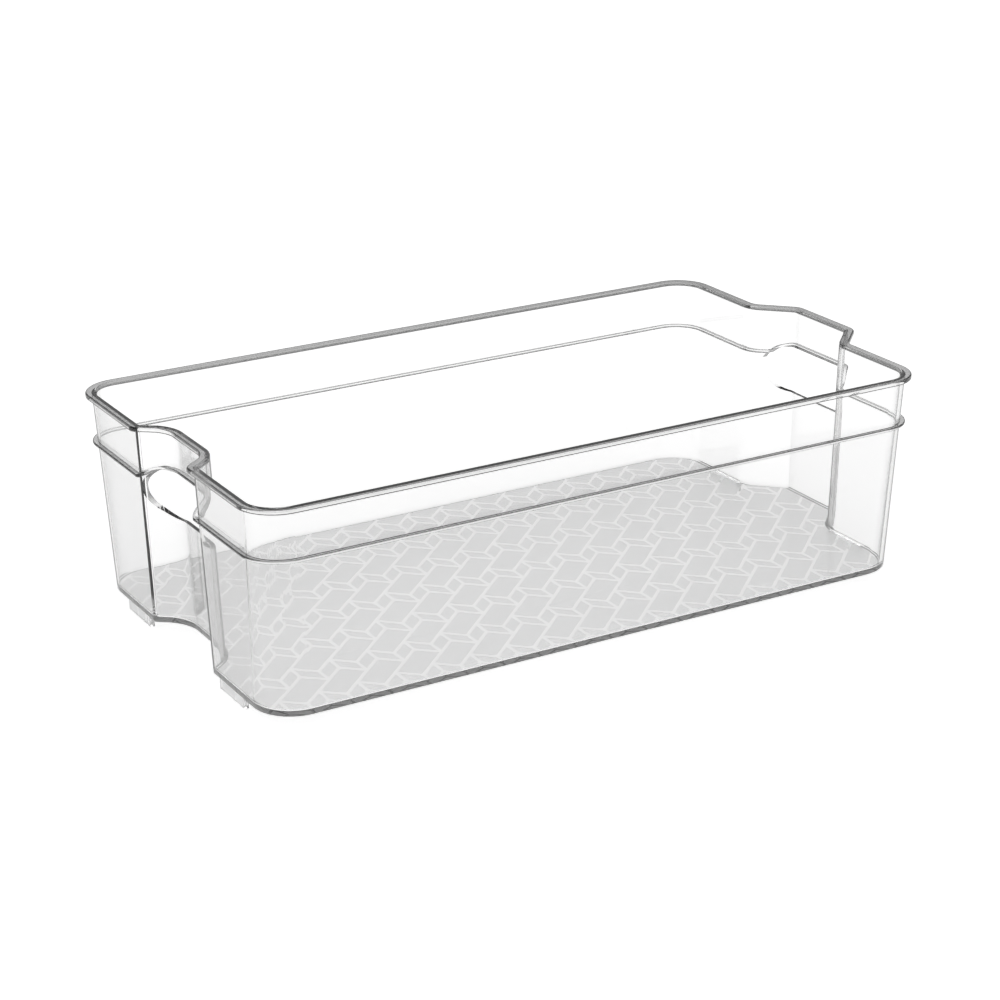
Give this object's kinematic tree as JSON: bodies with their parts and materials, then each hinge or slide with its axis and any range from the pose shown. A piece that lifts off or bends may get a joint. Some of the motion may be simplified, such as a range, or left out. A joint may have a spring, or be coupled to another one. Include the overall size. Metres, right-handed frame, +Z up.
{
  "type": "fridge bin",
  "caption": "Clear open-topped rectangular storage bin with tapered walls, a lipped rim, finger holes in a recessed end and a projecting end, and a patterned floor.",
  "frame": {"origin": "middle of the bounding box, at the level the feet stand on", "axes": "+Z up; +X along the length towards the end whose middle projects; -Y is the front long wall"},
  "size_m": [0.37, 0.205, 0.1044],
  "materials": {
    "clear_plastic": "clear polystyrene, polished mould surface",
    "frosted_floor": "clear polystyrene with frosted panels between polished lines"
  },
  "bodies": {
    "root": {"back_bead": "clear_plastic", "back_rim": "clear_plastic", "back_wall": "clear_plastic", "floor_panel": "frosted_floor", "front_bead": "clear_plastic", "front_rim": "clear_plastic", "front_wall": "clear_plastic", "niche_arch_bead": "clear_plastic", "niche_back_cheek_apron": "clear_plastic", "niche_back_cheek_brow": "clear_plastic", "niche_back_cheek_rim": "clear_plastic", "niche_back_corner_bead": "clear_plastic", "niche_back_corner_rim": "clear_plastic", "niche_back_corner_wall": "clear_plastic", "niche_back_flat_bead": "clear_plastic", "niche_back_flat_rim": "clear_plastic", "niche_back_flat_wall": "clear_plastic", "niche_back_foot": "clear_plastic", "niche_front_cheek_apron": "clear_plastic", "niche_front_cheek_brow": "clear_plastic", "niche_front_cheek_rim": "clear_plastic", "niche_front_corner_bead": "clear_plastic", "niche_front_corner_rim": "clear_plastic", "niche_front_corner_wall": "clear_plastic", "niche_front_flat_bead": "clear_plastic", "niche_front_flat_rim": "clear_plastic", "niche_front_flat_wall": "clear_plastic", "niche_front_foot": "clear_plastic", "niche_panel_apron": "clear_plastic", "niche_panel_brow": "clear_plastic", "niche_panel_rim": "clear_plastic", "nose_arch_bead": "clear_plastic", "nose_back_cheek_apron": "clear_plastic", "nose_back_cheek_brow": "clear_plastic", "nose_back_cheek_rim": "clear_plastic", "nose_back_corner_bead": "clear_plastic", "nose_back_corner_rim": "clear_plastic", "nose_back_corner_wall": "clear_plastic", "nose_back_flat_bead": "clear_plastic", "nose_back_flat_rim": "clear_plastic", "nose_back_flat_wall": "clear_plastic", "nose_back_foot": "clear_plastic", "nose_front_cheek_apron": "clear_plastic", "nose_front_cheek_brow": "clear_plastic", "nose_front_cheek_rim": "clear_plastic", "nose_front_corner_bead": "clear_plastic", "nose_front_corner_rim": "clear_plastic", "nose_front_corner_wall": "clear_plastic", "nose_front_flat_bead": "clear_plastic", "nose_front_flat_rim": "clear_plastic", "nose_front_flat_wall": "clear_plastic", "nose_front_foot": "clear_plastic", "nose_panel_apron": "clear_plastic", "nose_panel_brow": "clear_plastic", "nose_panel_rim": "clear_plastic"}
  },
  "joints": []
}
